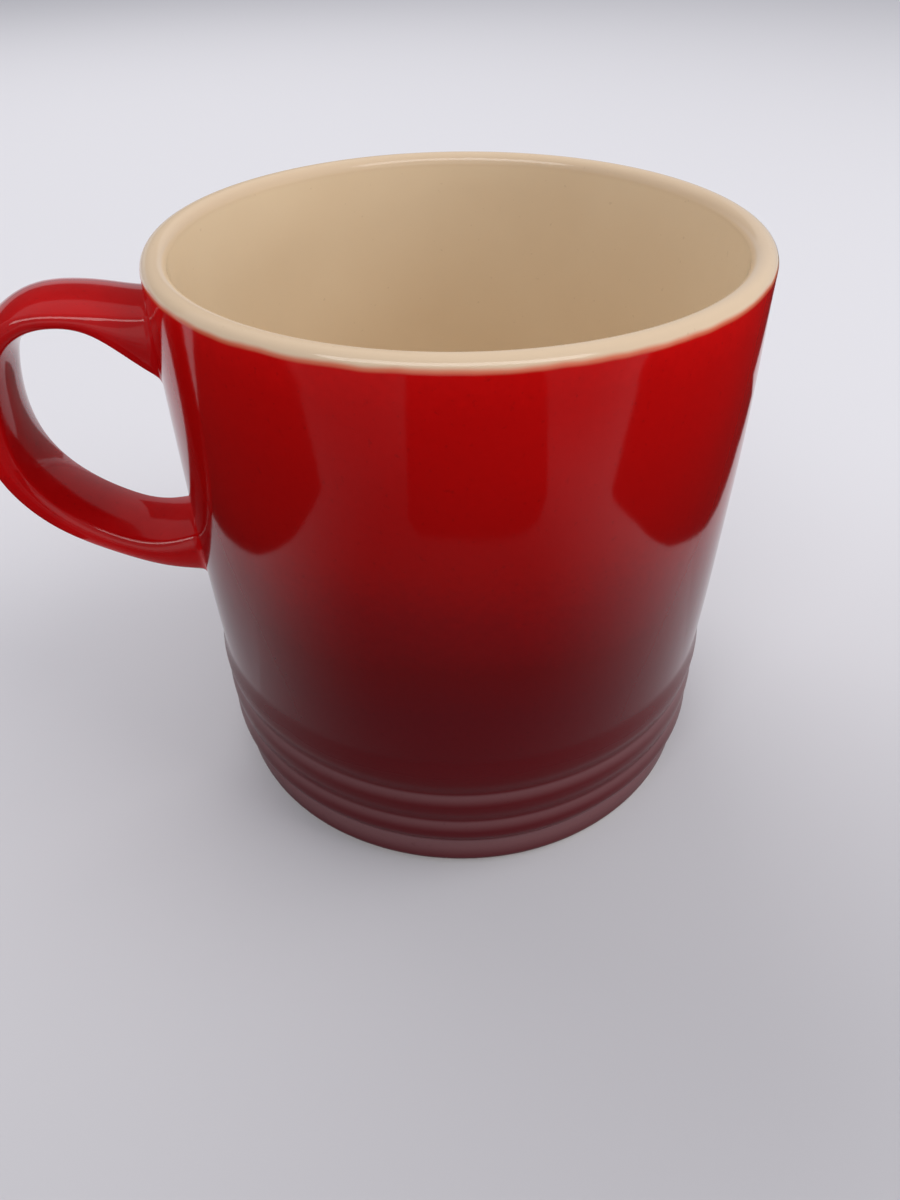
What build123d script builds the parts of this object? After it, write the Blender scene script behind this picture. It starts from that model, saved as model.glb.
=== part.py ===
"""A glazed stoneware mug with a strap handle.

The mug's axis is Z and its foot ring stands on z = 0, with the handle towards -X.
The clay body is the structure, and every glaze is a thin shell of its own that lies on the clay.
"""

import os

from build123d import *

# Driving dimensions, in millimetres.
height = 91.5
rim_radius = 43.8
belly_radius = 44.35  # the wall is a long, shallow arc, widest here
belly_height = 58.0
wall_low_radius = 43.9  # where the arc starts, at the top of the band
lip = 3.5  # the finished lip, a full round
glaze = 0.4
cream_line = 1.3  # the cream glaze comes over the lip, this far down the outside

# The cup's inside.
floor_height = 7.0
floor_radius = 39.2
cove = 9.0  # the round between floor and wall

# The foot: a dry ring around a shallow glazed recess.
foot_radius = 43.3
foot_round = 2.2
foot_inner = 37.0
recess_depth = 2.6
recess_draft = 1.2
foot_glaze_line = 0.6  # the glaze was wiped away below this

# A band that stands a little proud of the wall, with three grooves turned into it.
band_radius = 44.4
band_end = 27.0  # where the band has run out into the wall
groove_heights = (6.4, 13.0, 19.7)
groove_width = 5.0
groove_depth = 0.7
groove_soften = 1.4

# The strap handle: each station is its outer and its inner point, (reach, height),
# where reach is the distance from the mug's axis.
handle_stations = (
    ((41.5, 84.5), (41.5, 71.8)),
    ((46.5, 84.8), (46.5, 76.0)),
    ((51.0, 85.6), (51.8, 80.6)),
    ((56.5, 86.2), (56.3, 82.0)),
    ((62.0, 85.5), (60.3, 81.4)),
    ((67.2, 82.0), (63.7, 78.7)),
    ((71.0, 75.8), (65.7, 73.6)),
    ((72.6, 67.6), (66.6, 66.9)),
    ((71.3, 58.9), (65.6, 60.3)),
    ((66.6, 51.2), (61.7, 54.2)),
    ((59.2, 45.4), (55.4, 49.4)),
    ((51.0, 41.1), (49.7, 47.6)),
    ((41.5, 39.0), (41.5, 48.8)),
)
handle_width = 15.0
handle_crown = 1.0  # how far the strap's two faces bulge
handle_edge = 0.8  # how far its two sides bulge
slip = 0.8  # the slip that bonds the clay handle to the clay wall

os.makedirs("parts", exist_ok=True)


def outside(inset):
    """Half of the mug's outer form, filled in, with its surface moved in by inset."""
    lip_start = height - lip / 2
    top_groove = groove_heights[-1] + groove_width / 2
    with BuildSketch() as form:
        with BuildLine():
            foot_top = (foot_radius - inset, foot_round)
            Line((0, 0), (foot_radius - foot_round, 0))
            TangentArc(foot_top, (foot_radius - foot_round, 0), tangent=(0, -1))
            below = foot_top
            ledge = foot_radius
            for centre in groove_heights:
                entry = (ledge - inset, centre - groove_width / 2)
                deepest = (ledge - groove_depth - inset, centre)
                leave = (band_radius - inset, centre + groove_width / 2)
                Line(below, entry)
                ThreePointArc(entry, deepest, leave)
                below = leave
                ledge = band_radius
            wall_start = (wall_low_radius - inset, band_end)
            lip_side = (rim_radius - inset, lip_start)
            Line(below, wall_start)
            ThreePointArc(wall_start, (belly_radius - inset, belly_height), lip_side)
            lip_top = (rim_radius - lip / 2, height - inset)
            TangentArc(lip_side, lip_top, tangent=(0, 1))
            Line(lip_top, (0, height - inset))
            Line((0, height - inset), (0, 0))
        make_face()
        groove_edges = form.vertices().filter_by_position(Axis.Y, foot_round + 1, top_groove)
        fillet(groove_edges.filter_by_position(Axis.X, foot_inner, belly_radius + 1), groove_soften)
    return form.sketch_local


def inside(outset):
    """Half of the cup's hollow, with its surface moved out into the clay by outset."""
    lip_start = height - lip / 2
    inner_rim = (rim_radius - lip + outset, lip_start)
    lip_top = (rim_radius - lip / 2, height - outset)
    above = height + lip
    with BuildSketch() as hollow:
        with BuildLine():
            Line((0, floor_height - outset), (floor_radius + outset, floor_height - outset))
            Line((floor_radius + outset, floor_height - outset), inner_rim)
            TangentArc(inner_rim, lip_top, tangent=(0, 1))
            Polyline(lip_top, (lip_top[0], above), (0, above), (0, floor_height - outset))
        make_face()
        corner = hollow.vertices().sort_by(Axis.Y)[:2].sort_by(Axis.X)[-1]
        fillet(corner, cove)
    return hollow.sketch_local


def recess(ceiling):
    """Half of the hollow under the foot, up to a ceiling height."""
    with BuildSketch() as hollow:
        draft = recess_draft * ceiling / recess_depth
        with BuildLine():
            Polyline((0, 0), (foot_inner, 0), (foot_inner - draft, ceiling), (0, ceiling), close=True)
        make_face()
    return hollow.sketch_local


def band(start, low, high):
    """A band of the half section, outwards from the radius start, that a glaze is cut with."""
    with BuildSketch() as strip:
        with Locations((start, low)):
            Rectangle(2 * rim_radius, high - low, align=(Align.MIN, Align.MIN))
    return strip.sketch_local


def strap(inset):
    """The whole handle with its surface moved in by inset, from inside the wall to inside the wall."""
    half_width = handle_width / 2 - inset
    corner = handle_width / 2 - handle_edge - inset
    with BuildPart() as handle:
        for outer, inner in handle_stations:
            across = Vector(inner[0] - outer[0], 0, outer[1] - inner[1])
            middle = Vector(-(outer[0] + inner[0]) / 2, 0, (outer[1] + inner[1]) / 2)
            half = across.length / 2 - inset
            edge = half - handle_crown
            section = Plane(middle, x_dir=(0, 1, 0), z_dir=Vector(0, 1, 0).cross(across))
            with BuildSketch(section):
                with BuildLine():
                    ThreePointArc((-corner, edge), (0, half), (corner, edge))
                    ThreePointArc((corner, edge), (half_width, 0), (corner, -edge))
                    ThreePointArc((corner, -edge), (0, -half), (-corner, -edge))
                    ThreePointArc((-corner, -edge), (-half_width, 0), (-corner, edge))
                make_face()
        loft()
    return handle.part


def turned(face):
    """A half section turned about the mug's axis."""
    with BuildPart() as form:
        with BuildSketch(Plane.XZ):
            add(face)
        revolve(axis=Axis.Z)
    return form.part


# The forms that the pieces are cut from.
clay_form = outside(glaze)
finished_form = outside(0)
clay_wall = turned(clay_form)
slip_wall = turned(outside(glaze - slip))
clay_strap = strap(glaze)
finished_strap = strap(0)

# The cup: clay, bare only on the foot ring.
with BuildSketch() as clay_half:
    add(clay_form)
    add(inside(glaze), mode=Mode.SUBTRACT)
clay_section = clay_half.sketch_local

with BuildPart() as cup_body:
    with BuildSketch(Plane.XZ):
        add(clay_section)
        add(recess(recess_depth), mode=Mode.SUBTRACT)
    revolve(axis=Axis.Z)
cup_body.part.label = "cup_body"

# The handle: clay, ending where the slip begins.
with BuildPart() as handle_core:
    add(clay_strap)
    add(slip_wall, mode=Mode.SUBTRACT)
handle_core.part.label = "handle_core"

# The slip between the handle's two ends and the wall.
with BuildPart() as slip_pads:
    add(clay_strap)
    add(slip_wall, mode=Mode.INTERSECT)
    add(clay_wall, mode=Mode.SUBTRACT)
lower_pad, upper_pad = slip_pads.solids().sort_by(Axis.Z)

with BuildPart() as upper_slip_joint:
    add(upper_pad)
upper_slip_joint.part.label = "upper_slip_joint"

with BuildPart() as lower_slip_joint:
    add(lower_pad)
lower_slip_joint.part.label = "lower_slip_joint"

# The cream glaze: the whole inside and over the lip.
with BuildPart() as interior_glaze:
    with BuildSketch(Plane.XZ):
        add(finished_form)
        add(inside(0), mode=Mode.SUBTRACT)
        add(clay_section, mode=Mode.SUBTRACT)
        add(band(foot_radius - foot_round, 0, height - cream_line), mode=Mode.SUBTRACT)
    revolve(axis=Axis.Z)
interior_glaze.part.label = "interior_glaze"

# The red glaze: the outside of the wall, open where the handle comes through.
with BuildPart() as exterior_glaze:
    with BuildSketch(Plane.XZ):
        add(finished_form)
        add(clay_form, mode=Mode.SUBTRACT)
        add(band(0, foot_glaze_line, height - cream_line), mode=Mode.INTERSECT)
    revolve(axis=Axis.Z)
    add(finished_strap, mode=Mode.SUBTRACT)
exterior_glaze.part.label = "exterior_glaze"

# The red glaze around the handle and its slip.
with BuildPart() as handle_glaze:
    add(finished_strap)
    add(clay_strap, mode=Mode.SUBTRACT)
    add(clay_wall, mode=Mode.SUBTRACT)
handle_glaze.part.label = "handle_glaze"

# The glaze in the recess under the foot.
with BuildPart() as underside_glaze:
    with BuildSketch(Plane.XZ):
        add(recess(recess_depth))
        add(band(0, 0, recess_depth - glaze), mode=Mode.SUBTRACT)
    revolve(axis=Axis.Z)
underside_glaze.part.label = "underside_glaze"

for piece in (
    cup_body,
    handle_core,
    upper_slip_joint,
    lower_slip_joint,
    interior_glaze,
    exterior_glaze,
    handle_glaze,
    underside_glaze,
):
    export_step(piece.part, f"parts/{piece.part.label}.step")
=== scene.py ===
"""The looks of a glazed stoneware mug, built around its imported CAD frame.

The mug's axis is Z, it stands on z = 0 and its handle points to -X. Shapes are worked out in
millimetres, as (radius, height) profiles, and become metres when a mesh is made.
"""

import math
import random

import bpy
import numpy as np
from mathutils import Matrix, Vector


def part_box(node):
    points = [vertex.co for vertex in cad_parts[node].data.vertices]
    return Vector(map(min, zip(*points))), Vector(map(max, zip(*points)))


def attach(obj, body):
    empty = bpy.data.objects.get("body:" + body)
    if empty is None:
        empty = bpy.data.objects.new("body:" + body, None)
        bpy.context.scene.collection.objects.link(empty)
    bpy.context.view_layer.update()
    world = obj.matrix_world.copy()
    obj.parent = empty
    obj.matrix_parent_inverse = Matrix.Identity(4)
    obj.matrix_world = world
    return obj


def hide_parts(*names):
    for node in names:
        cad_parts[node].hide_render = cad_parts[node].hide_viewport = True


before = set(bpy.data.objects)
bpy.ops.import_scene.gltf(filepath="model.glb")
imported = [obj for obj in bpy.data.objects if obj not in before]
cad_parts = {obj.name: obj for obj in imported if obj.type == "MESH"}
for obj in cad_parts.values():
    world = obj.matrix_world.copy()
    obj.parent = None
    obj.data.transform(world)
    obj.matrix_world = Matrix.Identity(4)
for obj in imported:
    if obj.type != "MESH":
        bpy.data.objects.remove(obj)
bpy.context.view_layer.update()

MM = 0.001


# Sizes ----------------------------------------------------------------------------------------


def size_of(node):
    """A CAD node's lowest and highest corners, in millimetres."""
    low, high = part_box(node)
    return low / MM, high / MM


liner_low, liner_high = size_of("interior_glaze")
wall_low, wall_high = size_of("exterior_glaze")
strap_low, strap_high = size_of("handle_glaze")

height = liner_high.z
glaze = height - size_of("cup_body")[1].z
cream_line = wall_high.z
glaze_foot = wall_low.z
floor_height = liner_low.z + glaze
handle_width = strap_high.y - strap_low.y
recess_depth = size_of("underside_glaze")[1].z

rim_radius = 43.8
belly_radius = 44.35  # the wall is a long, shallow arc, widest here
belly_height = 58.0
wall_low_radius = 43.9
lip = 3.5
floor_radius = 39.2
cove = 9.0
foot_radius = 43.3
foot_round = 2.2
foot_inner = 37.0
recess_draft = 1.2
band_radius = 44.4
band_end = 27.0  # where the ringed band has run out into the wall
groove_heights = (6.4, 13.0, 19.7)
groove_reach = 3.3  # from a groove's bottom to the crests beside it
groove_depth = 1.05
groove_soften = 0.9  # the glaze rounds a groove's bottom off over this height

# The strap handle: its outer and its inner point at each station, as (reach, height).
handle_stations = (
    ((41.5, 84.5), (41.5, 71.8)),
    ((46.5, 84.8), (46.5, 76.0)),
    ((51.0, 85.6), (51.8, 80.6)),
    ((56.5, 86.2), (56.3, 82.0)),
    ((62.0, 85.5), (60.3, 81.4)),
    ((67.2, 82.0), (63.7, 78.7)),
    ((71.0, 75.8), (65.7, 73.6)),
    ((72.6, 67.6), (66.6, 66.9)),
    ((71.3, 58.9), (65.6, 60.3)),
    ((66.6, 51.2), (61.7, 54.2)),
    ((59.2, 45.4), (55.4, 49.4)),
    ((51.0, 41.1), (49.7, 47.6)),
    ((41.5, 39.0), (41.5, 48.8)),
)
handle_crown = 1.0
handle_edge = 0.8
handle_corner = 1.1  # the radius that the glaze gives the strap's long edges
root_blend = 1.3  # how far the glaze at the handle's ends runs out onto the wall

TURNS = 360  # faces around the mug
FINE = 0.12  # spacing of a profile's points on the lip and the foot, in millimetres
GROOVED = 0.2  # the same over the grooves
COVED = 0.4  # the same on the round between floor and wall
PLAIN = 0.8  # the same on the wall
FACE_POINTS = 9  # on half a face or half a side of the strap's outline
CORNER_POINTS = 8  # on each of its rounded edges
STRAP_RINGS = 260  # cross sections along the strap
FILLET_RINGS = 11  # cross sections in the glaze fillet at each of its ends


# Profiles -------------------------------------------------------------------------------------


def line(start, end, step):
    """Points from start to end, both included, about step apart."""
    start, end = np.array(start, float), np.array(end, float)
    count = max(2, int(round(np.linalg.norm(end - start) / step)) + 1)
    return start + np.linspace(0, 1, count)[:, None] * (end - start)


def arc(centre, radius, first, last, step):
    """Points along an arc, whose ends are angles in degrees from the radius axis."""
    count = max(3, int(round(radius * math.radians(abs(last - first)) / step)) + 1)
    turn = np.radians(np.linspace(first, last, count))
    return np.array(centre) + radius * np.stack([np.cos(turn), np.sin(turn)], axis=1)


def joined(*runs):
    """Runs of points end to end, without the points that repeat."""
    path = np.vstack(runs)
    steps = np.linalg.norm(np.diff(path, axis=0), axis=1)
    return path[np.r_[True, steps > 1e-6]]


def ease(value, low, high):
    """0 at low and before it, 1 at high and after it, and a smooth wave in between."""
    return 0.5 - 0.5 * np.cos(np.pi * np.clip((value - low) / (high - low), 0, 1))


def circle_through(a, b, c):
    """The centre and radius of the circle through three points."""
    a, b, c = (np.array(p, float) for p in (a, b, c))
    matrix = 2 * np.array([b - a, c - a])
    centre = np.linalg.solve(matrix, [b @ b - a @ a, c @ c - a @ a])
    return centre, np.linalg.norm(a - centre)


wall_centre, wall_curve = circle_through(
    (wall_low_radius, band_end),
    (belly_radius, belly_height),
    (rim_radius, height - lip / 2),
)


def wall_radius(z):
    """The finished outside radius at a height: the wall, the band with its grooves, the foot."""
    along = np.clip(z, band_end, height - lip / 2) - wall_centre[1]
    radius = wall_centre[0] + np.sqrt(wall_curve**2 - along**2)
    top_crest = groove_heights[-1] + groove_reach
    radius = radius + (band_radius - radius) * (1 - ease(z, top_crest, band_end + 1))
    low_crest = groove_heights[0] + groove_reach
    radius = radius - (band_radius - foot_radius) * (1 - ease(z, groove_heights[0] - 1.2, low_crest))
    for centre in groove_heights:
        away = np.sqrt((z - centre) ** 2 + groove_soften**2) / groove_reach
        radius = radius - groove_depth * np.clip(1 - away, 0, 1) ** 2
    return radius


def offset(path, distance):
    """A profile moved to its left by a distance, which may differ from point to point."""
    along = np.gradient(path, axis=0)
    along = along / np.linalg.norm(along, axis=1)[:, None]
    left = np.stack([-along[:, 1], along[:, 0]], axis=1)
    return path + left * np.asarray(distance).reshape(-1, 1)


def outside_profile():
    """The finished outside from the foot's flat to the top of the lip."""
    lip_start = height - lip / 2
    foot = arc((foot_radius - foot_round, foot_round), foot_round, -90, 0, FINE)
    grooved = np.arange(foot_round, band_end + 2, GROOVED)
    plain = np.arange(grooved[-1], lip_start, PLAIN)
    heights = np.r_[grooved, plain[1:], lip_start]
    radii = wall_radius(heights)
    radii[-1] = rim_radius
    wall = np.stack([radii, heights], axis=1)
    top = arc((rim_radius - lip / 2, lip_start), lip / 2, 0, 90, FINE)
    return joined(foot, wall, top)


def inside_profile():
    """The finished inside from the top of the lip to the middle of the cup's floor."""
    lip_start = height - lip / 2
    inner_rim = np.array([rim_radius - lip, lip_start])
    corner = np.array([floor_radius, floor_height])
    slope = math.degrees(math.atan2(inner_rim[1] - corner[1], inner_rim[0] - corner[0]))
    reach = cove * math.tan(math.radians(90 - slope / 2))
    up = (inner_rim - corner) / np.linalg.norm(inner_rim - corner)
    cove_top = corner + up * reach
    centre = (corner[0] - reach, floor_height + cove)
    return joined(
        arc((rim_radius - lip / 2, lip_start), lip / 2, 90, 180, FINE),
        line(inner_rim, cove_top, PLAIN),
        arc(centre, cove, slope - 90, -90, COVED),
        line((centre[0], floor_height), (0, floor_height), PLAIN),
    )


def bead(path, thickness):
    """Glaze thickness along a profile, rounded off to nothing at its first end."""
    run = np.r_[0, np.cumsum(np.linalg.norm(np.diff(path, axis=0), axis=1))]
    share = np.clip(run / (1.5 * thickness), 0, 1)
    return thickness * np.sqrt(1 - (1 - share) ** 2)


# The wall's hand-finished unevenness: a few long, low waves, the same for every piece.
chance = random.Random(11)
waves = [
    {
        "size": chance.uniform(0.010, 0.028),
        "around": chance.choice((1, 2, 3, 5, 7)),
        "up": 2 * math.pi / chance.uniform(28, 70),
        "phase": chance.uniform(0, 2 * math.pi),
    }
    for _ in range(9)
]


def unevenness(angle, z):
    """How far the fired form stands off its ideal surface, in millimetres."""
    total = 0
    for wave in waves:
        total = total + wave["size"] * np.sin(wave["around"] * angle + wave["up"] * z + wave["phase"])
    rise = np.clip(z / foot_round, 0, 1) * np.clip((height + 1 - z) / 6, 0.2, 1)
    return total * rise


# Mesh making ----------------------------------------------------------------------------------


def mesh_piece(name, points, faces, material, sharp_angle=50):
    """A smooth-shaded mesh object from points in millimetres."""
    mesh = bpy.data.meshes.new(name)
    mesh.from_pydata((np.asarray(points) * MM).tolist(), [], faces)
    mesh.validate()
    mesh.shade_smooth()
    mesh.set_sharp_from_angle(angle=math.radians(sharp_angle))
    mesh.materials.append(material)
    piece = bpy.data.objects.new(name, mesh)
    bpy.context.scene.collection.objects.link(piece)
    return piece


def turned(name, loop, material):
    """A closed solid made by turning a closed (radius, height) loop, given anticlockwise."""
    angles = np.linspace(0, 2 * math.pi, TURNS, endpoint=False)
    points, rows = [], []
    for radius, z in loop:
        if radius < 1e-6:
            rows.append([len(points)] * TURNS)
            points.append((0, 0, z))
            continue
        reach = radius + unevenness(angles, z) * min(1, radius / floor_radius)
        first = len(points)
        rows.append(list(range(first, first + TURNS)))
        points.extend(zip(reach * np.cos(angles), reach * np.sin(angles), np.full(TURNS, z)))
    faces = []
    for low, high in zip(rows, rows[1:] + rows[:1]):
        if low[0] == low[-1] and high[0] == high[-1]:
            continue
        for a in range(TURNS):
            b = (a + 1) % TURNS
            corners = [low[a], low[b], high[b], high[a]]
            face = [v for i, v in enumerate(corners) if v not in corners[:i]]
            faces.append(face)
    return mesh_piece(name, points, faces, material)


# Materials ------------------------------------------------------------------------------------


class Shader:
    """A material's node tree, built one named node at a time."""

    def __init__(self, name):
        self.material = bpy.data.materials.new(name)
        self.material.use_nodes = True
        self.tree = self.material.node_tree
        self.tree.nodes.clear()
        self.surface = self.node("BsdfPrincipled")
        output = self.node("OutputMaterial")
        self.link(self.surface.outputs["BSDF"], output.inputs["Surface"])
        self.place = self.node("TexCoord").outputs["Object"]
        axes = self.node("SeparateXYZ", Vector=self.place)
        self.z = self.math("DIVIDE", axes.outputs["Z"], MM)
        squares = [self.math("POWER", axes.outputs[axis], 2) for axis in ("X", "Y")]
        self.radius = self.math("DIVIDE", self.math("SQRT", self.math("ADD", *squares)), MM)

    def link(self, source, target):
        """Joins an output to an input."""
        self.tree.links.new(source, target)

    def node(self, kind, setup=None, **inputs):
        """A node of a kind, with its properties from setup and its inputs by name."""
        made = self.tree.nodes.new("ShaderNode" + kind)
        for name, value in (setup or {}).items():
            setattr(made, name, value)
        for name, value in inputs.items():
            self.fill(made.inputs[name.replace("_", " ")], value)
        return made

    def fill(self, socket, value):
        """Gives a socket another node's output, a colour or a number."""
        if isinstance(value, bpy.types.NodeSocket):
            self.link(value, socket)
        elif isinstance(value, tuple) and len(value) == 3 and socket.type == "RGBA":
            socket.default_value = (*value, 1)
        else:
            socket.default_value = value

    def math(self, operation, *values):
        """A Math node's result, from numbers or other nodes' outputs."""
        made = self.node("Math", {"operation": operation})
        for socket, value in zip(made.inputs, values):
            self.fill(socket, value)
        return made.outputs[0]

    def noise(self, size, detail=3.0, stretch=(1, 1, 1), roughness=0.5):
        """Noise from 0 to 1, whose lumps are about size millimetres, longer along stretch."""
        scaled = self.node("Mapping", Vector=self.place, Scale=tuple(1 / s for s in stretch))
        made = self.node("TexNoise", Vector=scaled.outputs[0], Scale=1 / (size * MM), Detail=detail)
        made.inputs["Roughness"].default_value = roughness
        return made.outputs["Fac"]

    def wander(self, size, reach, detail):
        """Noise around 0 that is reach from its lowest to its highest."""
        centred = self.math("SUBTRACT", self.noise(size, detail=detail), 0.5)
        return self.math("MULTIPLY", centred, reach)

    def ramp(self, factor, stops):
        """A colour ramp with (position, colour) stops."""
        made = self.node("ValToRGB", Fac=factor)
        elements = made.color_ramp.elements
        while len(elements) < len(stops):
            elements.new(0.5)
        for element, (position, colour) in zip(elements, stops):
            element.position = position
            element.color = (*colour, 1)
        return made.outputs["Color"]

    def mix(self, factor, first, second):
        """The first colour at factor 0, the second at factor 1."""
        made = self.node("Mix", {"data_type": "RGBA"})
        for socket, value in zip((made.inputs[0], made.inputs[6], made.inputs[7]), (factor, first, second)):
            self.fill(socket, value)
        return made.outputs[2]

    def between(self, value, low, high):
        """0 below low, 1 above high and a smooth step in between."""
        made = self.node("MapRange", {"interpolation_type": "SMOOTHSTEP"}, Value=value)
        made.inputs["From Min"].default_value = low
        made.inputs["From Max"].default_value = high
        return made.outputs[0]

    def bump(self, *heights):
        """Bump from pairs of a 0 to 1 height and its depth in millimetres."""
        normal = None
        for value, depth in heights:
            made = self.node("Bump", Height=value, Strength=1.0, Distance=depth * MM)
            if normal is not None:
                self.link(normal, made.inputs["Normal"])
            normal = made.outputs["Normal"]
        self.link(normal, self.surface.inputs["Normal"])

    def set(self, **inputs):
        """Fills the surface's inputs by name."""
        for name, value in inputs.items():
            self.fill(self.surface.inputs[name.replace("_", " ")], value)


def linear(red, green, blue):
    """A colour given as the eye reads it, 0 to 255, as the renderer needs it."""

    def channel(value):
        value = value / 255
        return value / 12.92 if value <= 0.04045 else ((value + 0.055) / 1.055) ** 2.4

    return tuple(channel(v) for v in (red, green, blue))


CREAM = linear(238, 218, 187)
CREAM_DEEP = linear(229, 206, 173)
CREAM_THIN = linear(222, 197, 167)
CREAM_SPECK = linear(168, 138, 104)
CREAM_SPECK_SHARE = 0.16  # how far a speck's colour covers the glaze's own
ORANGE = linear(214, 120, 88)
ORANGE_SHARE = 0.85
# the paler red of the bands under the grooves: thin glaze and a painted highlight
RED_THIN_AND_HIGHLIGHT = (0.170, 0.076, 0.081)
RED_MOTTLE = linear(60, 6, 10)
RED_MOTTLE_SHARE = 0.25
RED_UP_THE_WALL = (  # by share of the height
    (0.00, (0.094, 0.012, 0.016)),
    (0.10, (0.084, 0.005, 0.008)),
    (0.26, (0.088, 0.004, 0.006)),
    (0.40, (0.092, 0.003, 0.005)),
    (0.50, (0.114, 0.002, 0.003)),
    (0.60, (0.172, 0.002, 0.003)),
    (0.70, (0.265, 0.002, 0.002)),
    (0.82, (0.335, 0.002, 0.002)),
    (0.93, (0.430, 0.002, 0.002)),
    (1.00, (0.560, 0.003, 0.003)),
)
RED_CLOUDS = ((0.25, (0.38, 0.002, 0.003)), (0.75, (0.52, 0.004, 0.005)))
THIN_START, THIN_END = height - 2.4, height - 0.6  # the lip's glaze thins between these heights


def cream_colour(shader):
    """The cream glaze: soft clouds of tone, a few fine iron specks, and thinner over the lip."""
    colour = shader.mix(shader.noise(size=22, detail=4), CREAM, CREAM_DEEP)
    colour = shader.mix(shader.between(shader.z, THIN_START, THIN_END), colour, CREAM_THIN)
    specks = shader.between(shader.noise(size=0.9, detail=1), 0.74, 0.80)
    return shader.mix(shader.math("MULTIPLY", specks, CREAM_SPECK_SHARE), colour, CREAM_SPECK)


BREAK_AND_HIGHLIGHT_STRENGTHS = (0.95, 0.66, 0.66)  # one for each groove, from the foot up
BREAK_AND_HIGHLIGHT_FADES = (5.0, 2.8, 2.8)  # how far below each groove the break and its painted highlight reach, in millimetres


def breaks_and_painted_highlights(shader):
    """How thin the glaze runs just under each groove's bottom, fading out towards the crest; the paler band
    is also a painted highlight for the light that the groove's upward-facing slope reflects.
    """
    total = 0.0
    for centre, strength, fade in zip(groove_heights, BREAK_AND_HIGHLIGHT_STRENGTHS, BREAK_AND_HIGHLIGHT_FADES):
        below = shader.math("SUBTRACT", strength, shader.between(shader.z, centre - 0.6, centre + 0.5))
        above = shader.between(shader.z, centre - fade, centre - 0.5)
        total = shader.math("ADD", total, shader.math("MULTIPLY", shader.math("MAXIMUM", below, 0.0), above))
    return total


def red_colour(shader, fades):
    """The red glaze, which on the wall darkens to maroon towards the foot."""
    if fades:
        drift = shader.wander(size=18, reach=7.0, detail=3)
        grain = shader.wander(size=1.1, reach=5.0, detail=4)
        level = shader.math("ADD", shader.z, shader.math("ADD", drift, grain))
        colour = shader.ramp(shader.math("DIVIDE", level, height), RED_UP_THE_WALL)
        # paler bands under the grooves: thin glaze with a painted highlight
        colour = shader.mix(breaks_and_painted_highlights(shader), colour, RED_THIN_AND_HIGHLIGHT)
    else:
        colour = shader.ramp(shader.noise(size=9, detail=4), RED_CLOUDS)
    mottle = shader.between(shader.noise(size=0.7, detail=2), 0.62, 0.80)
    return shader.mix(shader.math("MULTIPLY", mottle, RED_MOTTLE_SHARE), colour, RED_MOTTLE)


def border(shader, cream, red):
    """Cream above the cream line and red below it on the outside, with a soft, slightly wavy change."""
    within = shader.math("LESS_THAN", shader.radius, rim_radius - lip / 2)
    raised = shader.math("MULTIPLY_ADD", within, height, shader.z)
    level = shader.math("ADD", raised, shader.wander(size=9, reach=0.9, detail=2))
    to_orange = shader.between(level, cream_line - 0.55, cream_line)
    to_cream = shader.between(level, cream_line - 0.1, cream_line + 0.5)
    colour = shader.mix(shader.math("MULTIPLY", to_orange, ORANGE_SHARE), red, ORANGE)
    return shader.mix(to_cream, colour, cream)


LEAST_ROUGH, MOST_ROUGH = 0.06, 0.11
BAND_ROUGHER = 0.20  # how much duller the glaze is on the ringed band
BAND_BLEND = 4  # how far the change reaches to either side of the band's end
GLASS_IOR = 1.5
GLAZE_SPECULAR = 0.25
RIPPLE_DEPTH, PEEL_DEPTH = 0.012, 0.0025  # in millimetres


def gloss(shader, duller_below):
    """The glaze's shine, a little duller in patches and near the foot, over a faint orange peel."""
    span = shader.node("MapRange", Value=shader.noise(size=14, detail=3))
    span.inputs["To Min"].default_value = LEAST_ROUGH
    span.inputs["To Max"].default_value = MOST_ROUGH
    above = shader.between(shader.z, duller_below - BAND_BLEND, duller_below + BAND_BLEND)
    low = shader.math("SUBTRACT", 1.0, above)
    rough = shader.math("MULTIPLY_ADD", low, BAND_ROUGHER, span.outputs[0])
    shader.set(Roughness=rough, IOR=GLASS_IOR)
    ripple = shader.noise(size=5, detail=2)
    peel = shader.noise(size=1.6, detail=2)
    shader.bump((ripple, RIPPLE_DEPTH), (peel, PEEL_DEPTH))


UNDER_THE_MUG = -10.0  # a height that no glaze is below


def glaze_material(name, fades=True, below=True, above=True):
    """A glaze: red below the cream line, cream above it, or both with the border between them."""
    shader = Shader(name)
    if above and below:
        colour = border(shader, cream_colour(shader), red_colour(shader, fades))
    elif above:
        colour = cream_colour(shader)
    else:
        colour = red_colour(shader, fades)
    shader.set(Base_Color=colour, Specular_IOR_Level=GLAZE_SPECULAR)
    gloss(shader, band_end if fades and below else UNDER_THE_MUG)
    return shader.material


CLAY_ROUGH = 0.78
CLAY_SPECK_SHARE = 0.6
TURNING_DEPTH, GROG_DEPTH = 0.03, 0.05  # in millimetres


def clay_material(name, base, deep, speck):
    """Bare stoneware: fine grog, faint turning lines and a dry surface."""
    shader = Shader(name)
    grog = shader.noise(size=0.5, detail=5, roughness=0.7)
    turning = shader.noise(size=0.9, detail=2, stretch=(40, 40, 1))
    colour = shader.mix(shader.noise(size=6, detail=4), base, deep)
    specks = shader.between(shader.noise(size=0.8, detail=1), 0.66, 0.74)
    colour = shader.mix(shader.math("MULTIPLY", specks, CLAY_SPECK_SHARE), colour, speck)
    shader.set(Base_Color=colour, Roughness=CLAY_ROUGH)
    shader.bump((turning, TURNING_DEPTH), (grog, GROG_DEPTH))
    return shader.material


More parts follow.
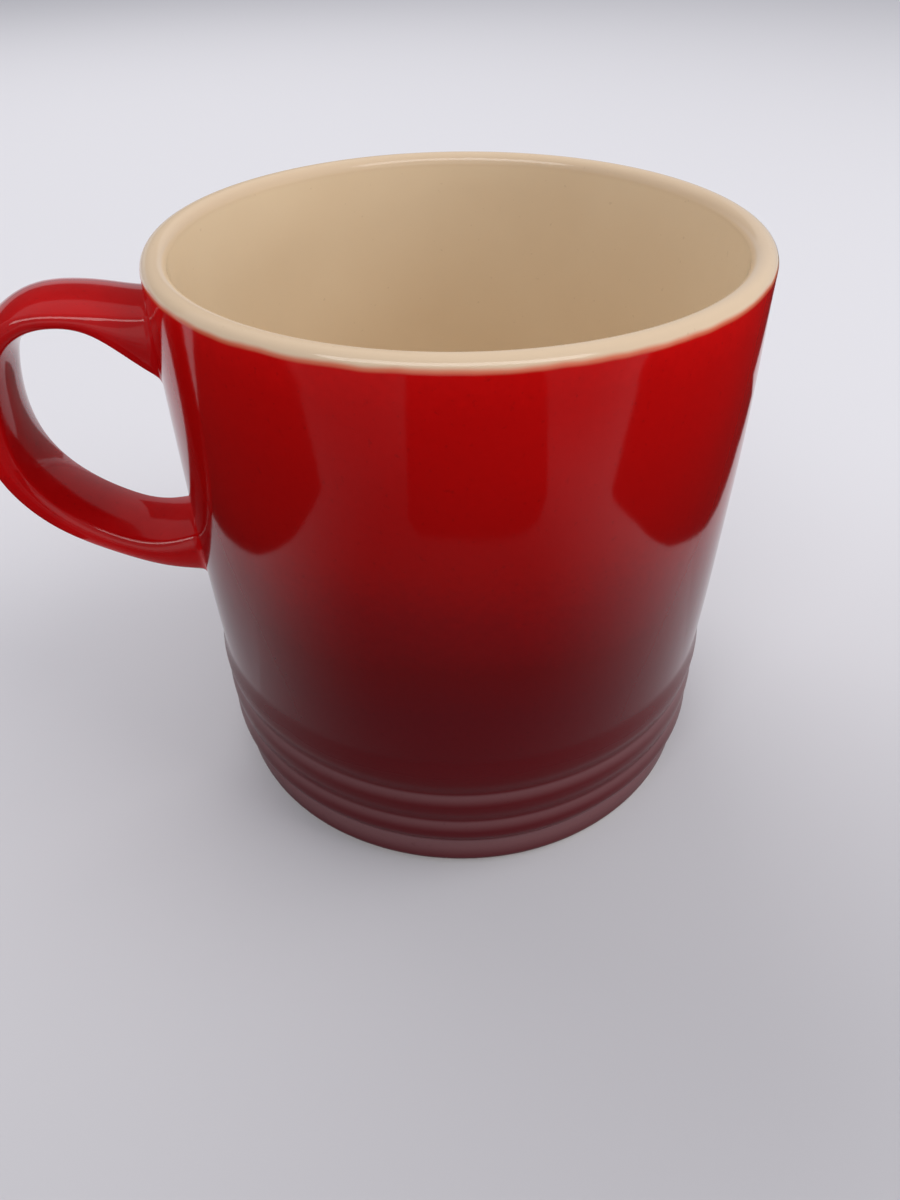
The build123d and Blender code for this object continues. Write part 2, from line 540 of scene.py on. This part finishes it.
red_wall = glaze_material("red_glaze_on_the_wall")
cream_lining = glaze_material("cream_glaze_on_the_lining")
red_strap = glaze_material("red_glaze_on_the_handle", fades=False, above=False)
cream_under = glaze_material("cream_glaze_under_the_foot", below=False)
stoneware = clay_material(
    "bare_stoneware", base=linear(214, 202, 182), deep=linear(198, 184, 160), speck=linear(140, 116, 92)
)
slip = clay_material(
    "fired_slip", base=linear(206, 192, 170), deep=linear(190, 176, 152), speck=linear(150, 128, 104)
)


# The cup --------------------------------------------------------------------------------------

EMBED = 0.05  # how far a glaze reaches into its clay, so that no gap shows

outside = outside_profile()
inside = inside_profile()

wall_path = outside[(outside[:, 1] >= glaze_foot - 1e-6) & (outside[:, 1] <= cream_line)]
lip_share = math.sqrt((lip / 2) ** 2 - (cream_line - (height - lip / 2)) ** 2)
cream_start = np.array([[rim_radius - lip / 2 + lip_share, cream_line]])
wall_path = joined(wall_path[wall_path[:, 1] < cream_line - 1e-3], cream_start)
wall_clay = offset(wall_path, glaze)
wall_skin = wall_clay - (wall_clay - wall_path) / glaze * bead(wall_path, glaze)[:, None]
wall_back = offset(wall_path, glaze + EMBED)[::-1]
wall_glaze = turned("wall_glaze", joined(wall_skin, wall_back), red_wall)

lining_path = joined(cream_start, outside[outside[:, 1] > cream_line + 1e-3], inside)
lining_back = offset(lining_path, glaze + EMBED)
lining_back[-1, 0] = 0
lining_glaze = turned("lining_glaze", joined(lining_path, lining_back[::-1]), cream_lining)

bare = outside[:, 1] < glaze_foot + glaze
under_glaze = ease(outside[:, 1], glaze_foot - 0.1, glaze_foot + glaze)
clay_foot = offset(outside, glaze * under_glaze)[bare]
clay_above = offset(joined(outside, inside), glaze)
clay_above = clay_above[clay_above[:, 1] > clay_foot[-1, 1]]
clay_above[-1, 0] = 0
recess = joined(
    line((0, recess_depth), (foot_inner - recess_draft, recess_depth), PLAIN),
    arc((foot_inner + 0.5, 0.5), 0.5, 180, 270, FINE),
)
stoneware_cup = turned("stoneware_cup", joined(recess, clay_foot, clay_above), stoneware)

under_path = line((foot_inner - recess_draft, recess_depth - glaze), (0, recess_depth - glaze), PLAIN)
under_loop = joined(under_path[::-1], under_path + [0, glaze + EMBED])
underside_glaze = turned("underside_glaze_disc", under_loop, cream_under)


# The handle -----------------------------------------------------------------------------------


def strap_section(half):
    """The strap's outline at half thickness half: crowned faces, sides and rounded edges.

    The points are (across, out), anticlockwise from the middle of one side.
    """
    wide = handle_width / 2
    edge_x, edge_y = wide - handle_edge, half - handle_crown
    face, face_radius = circle_through((-edge_x, edge_y), (0, half), (edge_x, edge_y))
    side, side_radius = circle_through((edge_x, edge_y), (wide, 0), (edge_x, -edge_y))
    apart = side - face
    distance = np.linalg.norm(apart)
    near, far = side_radius - handle_corner, face_radius - handle_corner
    along = (far**2 - near**2 + distance**2) / (2 * distance)
    square = math.sqrt(max(far**2 - along**2, 0))
    unit = apart / distance
    options = [face + along * unit + s * square * np.array([-unit[1], unit[0]]) for s in (1, -1)]
    corner = max(options, key=lambda p: p[0] + p[1])

    def bearing(point, centre):
        return math.degrees(math.atan2(point[1] - centre[1], point[0] - centre[0]))

    side_end = bearing(corner, side)
    face_end = bearing(corner, face)
    share = np.linspace(0, 1, FACE_POINTS)
    corner_share = np.linspace(0, 1, CORNER_POINTS)
    side_arc = side + side_radius * unit_turns(share * side_end)
    corner_arc = corner + handle_corner * unit_turns(side_end + corner_share * (face_end - side_end))
    face_arc = face + face_radius * unit_turns(face_end + share * (90 - face_end))
    quarter = joined(side_arc, corner_arc, face_arc)
    top = np.vstack([quarter, quarter[-2::-1] * [-1, 1]])
    return np.vstack([top, top[-2:0:-1] * [1, -1]])


def unit_turns(degrees):
    """Unit vectors at angles in degrees."""
    turn = np.radians(degrees)
    return np.stack([np.cos(turn), np.sin(turn)], axis=1)


def natural_spline(stations, count):
    """Points on the natural cubic spline through stations, spaced by chord length."""
    stations = np.array(stations, float)
    knots = np.r_[0, np.cumsum(np.linalg.norm(np.diff(stations.mean(axis=1), axis=0), axis=1))]
    gap = np.diff(knots)
    size = len(knots)
    matrix, right = np.eye(size), np.zeros((size, 4))
    values = stations.reshape(size, 4)
    for i in range(1, size - 1):
        matrix[i, i - 1 : i + 2] = gap[i - 1], 2 * (gap[i - 1] + gap[i]), gap[i]
        right[i] = 6 * ((values[i + 1] - values[i]) / gap[i] - (values[i] - values[i - 1]) / gap[i - 1])
    bend = np.linalg.solve(matrix, right)
    spots = np.linspace(0, knots[-1], count)
    index = np.clip(np.searchsorted(knots, spots, side="right") - 1, 0, size - 2)
    ahead = (knots[index + 1] - spots)[:, None]
    behind = (spots - knots[index])[:, None]
    span = gap[index][:, None]
    made = (bend[index] * ahead**3 + bend[index + 1] * behind**3) / (6 * span)
    made = made + (values[index] / span - bend[index] * span / 6) * ahead
    made = made + (values[index + 1] / span - bend[index + 1] * span / 6) * behind
    return made.reshape(count, 2, 2)


def surface_point(point, sunk=0.0):
    """A point moved straight in or out onto the finished wall, sunk below it by a distance."""
    angle = math.atan2(point[1], point[0])
    radius = wall_radius(point[2]) + unevenness(angle, point[2]) - sunk
    return np.array([radius * math.cos(angle), radius * math.sin(angle), point[2]])


def wall_gap(point):
    """How far outside the finished wall a point is."""
    angle = math.atan2(point[1], point[0])
    return math.hypot(point[0], point[1]) - wall_radius(point[2]) - unevenness(angle, point[2])


def strap_rings():
    """The strap's cross sections along its whole length, as points in the mug's frame."""
    rings = []
    for outer, inner in natural_spline(handle_stations, STRAP_RINGS):
        middle = (outer + inner) / 2
        out = outer - middle
        half = np.linalg.norm(out)
        out = out / half
        section = strap_section(half)
        x = -(middle[0] + section[:, 1] * out[0])
        z = middle[1] + section[:, 1] * out[1]
        rings.append(np.stack([x, section[:, 0], z], axis=1))
    return np.array(rings)


NEAREST_RING = 0.9  # of the root blend: no plain cross section comes closer to the wall
LANDING_SUNK = 0.01  # how far the fillet's outer edge is sunk into the wall
DIPS = ((0.25, 0.06), (0.5, 0.3))  # beyond that edge: how far out, and how far sunk
END_SUNK = 1.2


def rooted(rings):
    """A run of rings from well outside the wall, ended in a glaze fillet that lies on the wall."""
    kept = []
    for ring in rings:
        if min(wall_gap(p) for p in ring) < root_blend * NEAREST_RING:
            break
        kept.append(ring)
    start = len(kept)
    last = kept[-1]
    foot = []
    for column in range(last.shape[0]):
        track = rings[start - 1 :, column]
        gaps = np.array([wall_gap(p) for p in track])
        crossing = int(np.argmax(gaps < 0))
        share = gaps[crossing - 1] / (gaps[crossing - 1] - gaps[crossing])
        foot.append(track[crossing - 1] + share * (track[crossing] - track[crossing - 1]))
    foot = np.array(foot)
    centre = foot.mean(axis=0)
    around = np.roll(foot, -1, axis=0) - np.roll(foot, 1, axis=0)
    outward = np.stack([foot[:, 0], foot[:, 1], np.zeros(len(foot))], axis=1)
    outward /= np.linalg.norm(outward, axis=1)[:, None]
    away = np.cross(around, outward)
    away /= np.linalg.norm(away, axis=1)[:, None]
    flip = np.sign(np.sum(away * (foot - centre), axis=1).mean())
    away = away * flip
    track_in = last - foot
    reach = np.linalg.norm(track_in, axis=1)[:, None]
    begin = foot + track_in * np.minimum(1, root_blend / reach)
    made = list(kept)
    landing = np.array([surface_point(p, LANDING_SUNK) for p in foot + root_blend * away])
    for share in np.linspace(0, 1, FILLET_RINGS):
        bend = (1 - share) ** 2 * begin + 2 * share * (1 - share) * foot
        made.append(bend + share**2 * landing)
    # The last rings dip under the wall's surface, so that the strap is closed out of sight.
    for spread, sunk in DIPS:
        made.append(np.array([surface_point(p, sunk) for p in foot + (root_blend + spread) * away]))
    made.append(np.array([surface_point(p, END_SUNK) for p in foot]))
    return made


def handle_glaze_mesh():
    """The strap's skin, from one fillet on the wall to the other."""
    rings = strap_rings()
    middle = len(rings) // 2
    lower = rooted(rings[middle:])
    upper = rooted(rings[: middle + 1][::-1])
    run = upper[::-1] + lower[1:]
    columns = run[0].shape[0]
    points = np.vstack(run)
    faces = []
    for row in range(len(run) - 1):
        for column in range(columns):
            following = (column + 1) % columns
            a, b = row * columns + column, row * columns + following
            faces.append((a, a + columns, b + columns, b))
    faces.append(tuple(range(columns)))
    faces.append(tuple(range(len(points) - columns, len(points)))[::-1])
    return mesh_piece("strap_glaze", points, faces, red_strap, sharp_angle=60)


strap_glaze = handle_glaze_mesh()


# Riding, replacing and the clay inside the handle ---------------------------------------------

for piece, node, slot in (
    (stoneware_cup, "cup_body", "clay"),
    (wall_glaze, "exterior_glaze", "red_glaze"),
    (lining_glaze, "interior_glaze", "cream_glaze"),
    (underside_glaze, "underside_glaze", "cream_glaze"),
    (strap_glaze, "handle_glaze", "red_glaze"),
):
    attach(piece, "root")
    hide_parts(node)

for node, material, slot in (
    ("handle_core", stoneware, "clay"),
    ("upper_slip_joint", slip, "slip"),
    ("lower_slip_joint", slip, "slip"),
):
    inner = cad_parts[node]
    inner.data.materials.clear()
    inner.data.materials.append(material)


# Stage ----------------------------------------------------------------------------------------


def flat_sheet(name, outline, level, material):
    """A flat stage sheet from an outline in millimetres, at a height in millimetres."""
    mesh = bpy.data.meshes.new(name)
    mesh.from_pydata([(x * MM, y * MM, level * MM) for x, y in outline], [], [tuple(range(len(outline)))])
    mesh.materials.append(material)
    sheet = bpy.data.objects.new(name, mesh)
    bpy.context.scene.collection.objects.link(sheet)
    return sheet


PAPER = linear(226, 225, 229)
# the paper's painted shade towards the viewer
PAPER_SHADED_NEAR = linear(196, 195, 199)
PAPER_NEAR_Y, PAPER_FAR_Y = -150, 90  # where the paper, with its painted shade, is as grey and as pale as it gets
PAPER_ROUGH = 0.9
FLOOR_REACH = 6000
FLOOR_LEVEL = -0.02
FLAG_LEVEL = 30  # above the rings, so that they never see a flag
SHADE_LEVEL = 0.8  # the soft shades lie just over the floor
CAMERA_SIDE = math.radians(8)  # the camera stands this far round from -Y


def oblong(left, near, right, far):
    """The four corners of a rectangle."""
    return (left, near), (right, near), (right, far), (left, far)


def paper_material(name):
    """Pale paper with painted shade that makes it a little greyer towards the viewer."""
    shader = Shader(name)
    depth = shader.node("SeparateXYZ", Vector=shader.place)
    far = shader.between(depth.outputs["Y"], PAPER_NEAR_Y * MM, PAPER_FAR_Y * MM)
    grey = shader.mix(far, PAPER_SHADED_NEAR, PAPER)
    shader.set(Base_Color=grey, Roughness=PAPER_ROUGH, Specular_IOR_Level=0.0)
    return shader.material


def unseen(card):
    """Hides a card from everything but the glaze's reflections."""
    card.visible_camera = False
    card.visible_diffuse = False
    card.visible_shadow = False
    card.visible_transmission = False
    return card


def flag(name, outline, shade):
    """A dark card lying over the floor that only the glaze's reflections see."""
    shader = Shader(name)
    shader.set(Base_Color=(shade, shade, shade), Roughness=1.0, Specular_IOR_Level=0.0)
    return unseen(flat_sheet(name, outline, FLAG_LEVEL, shader.material))


SHADE_OUTLINE = oblong(-600, -900, 600, -10)
SPOT_CORE = 0.3  # the share of a spot's radius that is fully dark


def soft_shades(name, spots):
    """A wide card on the floor, seen only in the glaze's reflections, with painted shade in round spots and
    as pale as the floor elsewhere.
    """
    shader = Shader(name)
    light = 1.0
    for (x, y), radius, shade in spots:
        middle = shader.node("CombineXYZ", X=x * MM, Y=y * MM, Z=SHADE_LEVEL * MM)
        away = shader.node("VectorMath", {"operation": "DISTANCE"})
        shader.link(shader.place, away.inputs[0])
        shader.link(middle.outputs[0], away.inputs[1])
        fade = shader.between(away.outputs["Value"], SPOT_CORE * radius * MM, radius * MM)
        light = shader.math("MULTIPLY", light, shader.math("MULTIPLY_ADD", fade, 1 - shade, shade))
    colour = shader.mix(light, (0, 0, 0), PAPER)
    shader.set(Base_Color=colour, Roughness=PAPER_ROUGH, Specular_IOR_Level=0.0)
    return unseen(flat_sheet(name, SHADE_OUTLINE, SHADE_LEVEL, shader.material))


def seen_from_camera(x, y):
    """A floor point given across and along the view, in the mug's frame."""
    c, s = math.cos(CAMERA_SIDE), math.sin(CAMERA_SIDE)
    return x * c + y * s, -x * s + y * c


left_flag = (
    (-700, -110),
    (-123, -108),
    (-90, -96),
    (-77, -89),
    (-72, -72),
    (-69, -59),
    (-68, -46),
    (-68, -33),
    (-71, -18),
    (-74, -7),
    (-78, 1),
    (-100, 4),
    (-700, 40),
)
right_flag = (
    (107, 66),
    (90, 62),
    (84, 32),
    (77, 16),
    (73, 5),
    (71, -5),
    (71, -30),
    (73, -41),
    (77, -54),
    (81, -75),
    (85, -79),
    (93, -81),
    (107, -86),
    (144, -95),
    (700, -110),
    (700, 300),
    (120, 300),
)
middle_flag = (
    (-60, -215),
    (-48, -167),
    (-40, -140),
    (-28, -103),
    (-21, -98),
    (1, -99),
    (33, -96),
    (42, -98),
    (54, -108),
    (76, -147),
    (94, -215),
)
behind_flag = ((-60, 44), (50, 60), (60, 260), (-20, 260), (-66, 130))
DARK, DUSKY, DIM = 0.02, 0.10, 0.22

floor_outline = oblong(-FLOOR_REACH, -FLOOR_REACH, FLOOR_REACH, FLOOR_REACH)
flat_sheet("floor", floor_outline, FLOOR_LEVEL, paper_material("pale_floor_with_painted_shade"))
for name, outline, shade in (
    ("left_flag", left_flag, DARK),
    ("right_flag", right_flag, DARK),
    ("middle_flag", middle_flag, DARK),
    ("behind_flag", behind_flag, DIM),
):
    flag(name, [seen_from_camera(*point) for point in outline], shade)
soft_shades(
    "front_shade",
    (
        (seen_from_camera(-8, -118), 150, 0.20),
        (seen_from_camera(-170, -230), 190, 0.30),
        (seen_from_camera(170, -250), 190, 0.30),
    ),
)
back_flag = flag("back_flag", oblong(-1500, 250, 60, 750), DUSKY)
back_flag.rotation_euler.x = math.pi / 2  # it stands upright, behind the mug
back_flag.location = (0, 0.8, 0)


WHITE = (1, 1, 1)
WARM = (1.0, 0.99, 0.98)


def area_light(name, position, target, size, power, colour=WHITE, glossy=True, diffuse=True):
    """A rectangular light aimed at a target, which may leave out reflections or plain light."""
    light = bpy.data.lights.new(name, "AREA")
    light.shape = "RECTANGLE"
    light.size, light.size_y = size
    light.energy = power
    light.color = colour
    lamp = bpy.data.objects.new(name, light)
    lamp.location = position
    lamp.rotation_euler = (Vector(target) - Vector(position)).to_track_quat("-Z", "Y").to_euler()
    lamp.visible_glossy = glossy
    lamp.visible_diffuse = diffuse
    bpy.context.scene.collection.objects.link(lamp)


BODY = (0, 0, 0.05)  # lights are placed in metres and their power is in watts
area_light("window", (-0.30, 0.75, 0.95), (0, 0.1, 0.05), (1.0, 0.6), 4.6, WARM, glossy=False)
area_light("fill", (0.85, -0.25, 0.95), BODY, (0.9, 0.9), 6.0, WARM, glossy=False)
area_light("ceiling", (-0.45, -0.65, 0.85), BODY, (0.4, 0.4), 1.7, glossy=False)
area_light("strip", (-0.10, -0.60, 0.90), BODY, (1.6, 0.40), 13.0, diffuse=False)
area_light("low_front", (0.05, -1.0, 0.16), (0, 0, 0.02), (1.2, 0.32), 0.9)
area_light("low_right", (0.9, -0.50, 0.14), (0, 0, 0.03), (0.5, 0.25), 1.7, glossy=False)

ROOM_COLOUR = (0.93, 0.94, 1.0)
ROOM_STRENGTH = 0.50

world = bpy.data.worlds.new("soft_grey_room")
world.use_nodes = True
background = world.node_tree.nodes["Background"]
background.inputs["Color"].default_value = (*ROOM_COLOUR, 1)
background.inputs["Strength"].default_value = ROOM_STRENGTH
bpy.context.scene.world = world
bpy.context.scene.view_settings.view_transform = "Standard"


# Camera ---------------------------------------------------------------------------------------

CAMERA_DISTANCE = 127.24  # from the mug's axis, in millimetres
CAMERA_HEIGHT = 129.87
CAMERA_PAN = math.radians(-7.17)
CAMERA_TILT = math.radians(40.16)
CAMERA_ROLL = math.radians(-0.825)
CAMERA_LENS = 25.95
SENSOR_WIDTH = 36

camera_data = bpy.data.cameras.new("camera")
camera_data.lens = CAMERA_LENS
camera_data.sensor_width = SENSOR_WIDTH
camera_data.clip_start = 0.01
camera_data.clip_end = 50
camera = bpy.data.objects.new("camera", camera_data)
x, y = seen_from_camera(0, -CAMERA_DISTANCE)
turn = (
    Matrix.Rotation(CAMERA_PAN, 4, "Z")
    @ Matrix.Rotation(math.pi / 2 - CAMERA_TILT, 4, "X")
    @ Matrix.Rotation(CAMERA_ROLL, 4, "Z")
)
camera.matrix_world = Matrix.Translation((x * MM, y * MM, CAMERA_HEIGHT * MM)) @ turn
bpy.context.scene.collection.objects.link(camera)
bpy.context.scene.camera = camera
